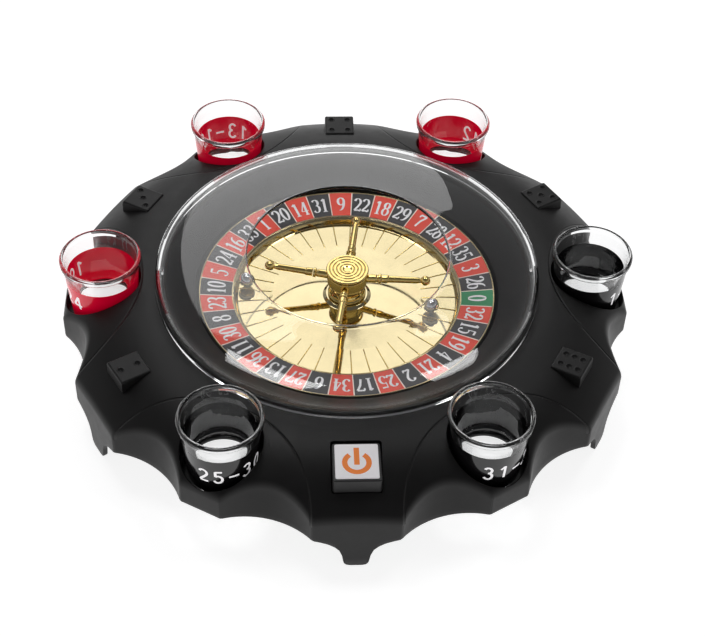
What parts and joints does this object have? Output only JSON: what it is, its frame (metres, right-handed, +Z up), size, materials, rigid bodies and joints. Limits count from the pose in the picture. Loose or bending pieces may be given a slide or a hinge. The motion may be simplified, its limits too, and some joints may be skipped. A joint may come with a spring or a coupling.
{
  "type": "roulette wheel",
  "caption": "Tabletop party roulette: black lobed body on legs, motor-spun gold wheel with number ring and turret under a clear domed cover, shot glasses in wells, power button.",
  "frame": {"origin": "on the table under the wheel's axis, at the centre of the footprint", "axes": "+Z up along the wheel's spindle, -Y towards the power button, glasses at 0, 60, 120, 180, 240 and 300 degrees about +Z from +X"},
  "size_m": [0.2852, 0.284, 0.0649],
  "materials": {
    "body_black": "moulded, satin",
    "base_grey": "moulded, matte",
    "clear_cover": "clear moulded plastic, polished",
    "button_black": "moulded, satin",
    "button_white": "printed, semi-gloss",
    "gold": "gold-plated, polished",
    "number_print": "printed pockets",
    "ball_steel": "polished",
    "glass_red": "painted outside, polished",
    "glass_black": "painted outside, polished",
    "steel": "zinc-plated",
    "motor_can": "drawn can",
    "nickel": "nickel-plated spring strip",
    "bush_brass": "turned",
    "gear_white": "moulded acetal",
    "board_green": "solder mask",
    "cell_wrap": "printed sleeve",
    "lead_red": "insulated wire",
    "lead_yellow": "insulated wire",
    "lead_black": "insulated wire"
  },
  "bodies": {
    "base": {"upper_shell": "body_black", "bottom_cover": "base_grey", "aa_cell_1": "cell_wrap", "aa_cell_2": "cell_wrap", "contact_bridge": "nickel", "contact_positive": "nickel", "contact_negative": "nickel", "motor": "motor_can", "motor_bracket": "motor_can", "bracket_screw_1": "steel", "bracket_screw_2": "steel", "spindle_bush": "bush_brass", "tact_switch": "base_grey", "switch_board": "board_green", "board_screw_1": "steel", "board_screw_2": "steel", "lead_battery_switch": "lead_red", "lead_switch_motor": "lead_yellow", "lead_motor_battery": "lead_black", "base_screw_1": "steel", "base_screw_2": "steel", "base_screw_3": "steel", "base_screw_4": "steel", "base_screw_5": "steel", "base_screw_6": "steel"},
    "wheel": {"wheel_pan": "gold", "number_ring": "number_print", "turret_hub": "gold", "turret_cap": "gold", "turret_arm_1": "gold", "turret_arm_2": "gold", "turret_arm_3": "gold", "turret_arm_4": "gold", "spindle": "steel", "spindle_clip": "steel", "drive_gear": "gear_white"},
    "pinion": {"motor_pinion": "gear_white", "motor_shaft": "steel"},
    "button": {"power_button": "button_black", "button_label": "button_white", "switch_plunger": "base_grey"},
    "cover": {"clear_cover": "clear_cover"},
    "door": {"battery_door": "base_grey", "door_screw": "steel"},
    "shot_1": {"glass_1": "glass_black"},
    "shot_2": {"glass_2": "glass_red"},
    "shot_3": {"glass_3": "glass_red"},
    "shot_4": {"glass_4": "glass_red"},
    "shot_5": {"glass_5": "glass_black"},
    "shot_6": {"glass_6": "glass_black"},
    "loose_ball_1": {"ball_1": "ball_steel"},
    "loose_ball_2": {"ball_2": "ball_steel"}
  },
  "joints": [
    {"name": "wheel_spin", "type": "hinge", "parent": "base", "child": "wheel", "pos_m": [0, 0, 0.031], "axis": [0, 0, 1], "continuous": true},
    {"name": "pinion_spin", "type": "hinge", "parent": "base", "child": "pinion", "pos_m": [0.0243, 0, 0.026], "axis": [0, 0, 1], "continuous": true},
    {"name": "button_press", "type": "slide", "parent": "base", "child": "button", "axis": [0, 0, -1], "range_m": [0, 0.0015], "stiffness_N_per_m": 700, "springref_m": -0.0008},
    {"name": "cover_lift", "type": "slide", "parent": "base", "child": "cover", "axis": [0, 0, 1], "range_m": [0, 0.05]},
    {"name": "door_drop", "type": "slide", "parent": "base", "child": "door", "axis": [0, 0, -1], "range_m": [0, 0.008]},
    {"name": "shot_1_lift", "type": "slide", "parent": "base", "child": "shot_1", "axis": [0, 0, 1], "range_m": [0, 0.04]},
    {"name": "shot_2_lift", "type": "slide", "parent": "base", "child": "shot_2", "axis": [0, 0, 1], "range_m": [0, 0.04]},
    {"name": "shot_3_lift", "type": "slide", "parent": "base", "child": "shot_3", "axis": [0, 0, 1], "range_m": [0, 0.04]},
    {"name": "shot_4_lift", "type": "slide", "parent": "base", "child": "shot_4", "axis": [0, 0, 1], "range_m": [0, 0.04]},
    {"name": "shot_5_lift", "type": "slide", "parent": "base", "child": "shot_5", "axis": [0, 0, 1], "range_m": [0, 0.04]},
    {"name": "shot_6_lift", "type": "slide", "parent": "base", "child": "shot_6", "axis": [0, 0, 1], "range_m": [0, 0.04]},
    {"name": "ball_1_lift", "type": "slide", "parent": "wheel", "child": "loose_ball_1", "axis": [0.2842, -0.0425, 0.9578], "range_m": [0, 0.04]},
    {"name": "ball_2_lift", "type": "slide", "parent": "wheel", "child": "loose_ball_2", "axis": [-0.0409, -0.1426, 0.9889], "range_m": [0, 0.04]}
  ],
  "couplings": [
    {"joint": "pinion_spin", "follows": "wheel_spin", "ratio": -5}
  ]
}
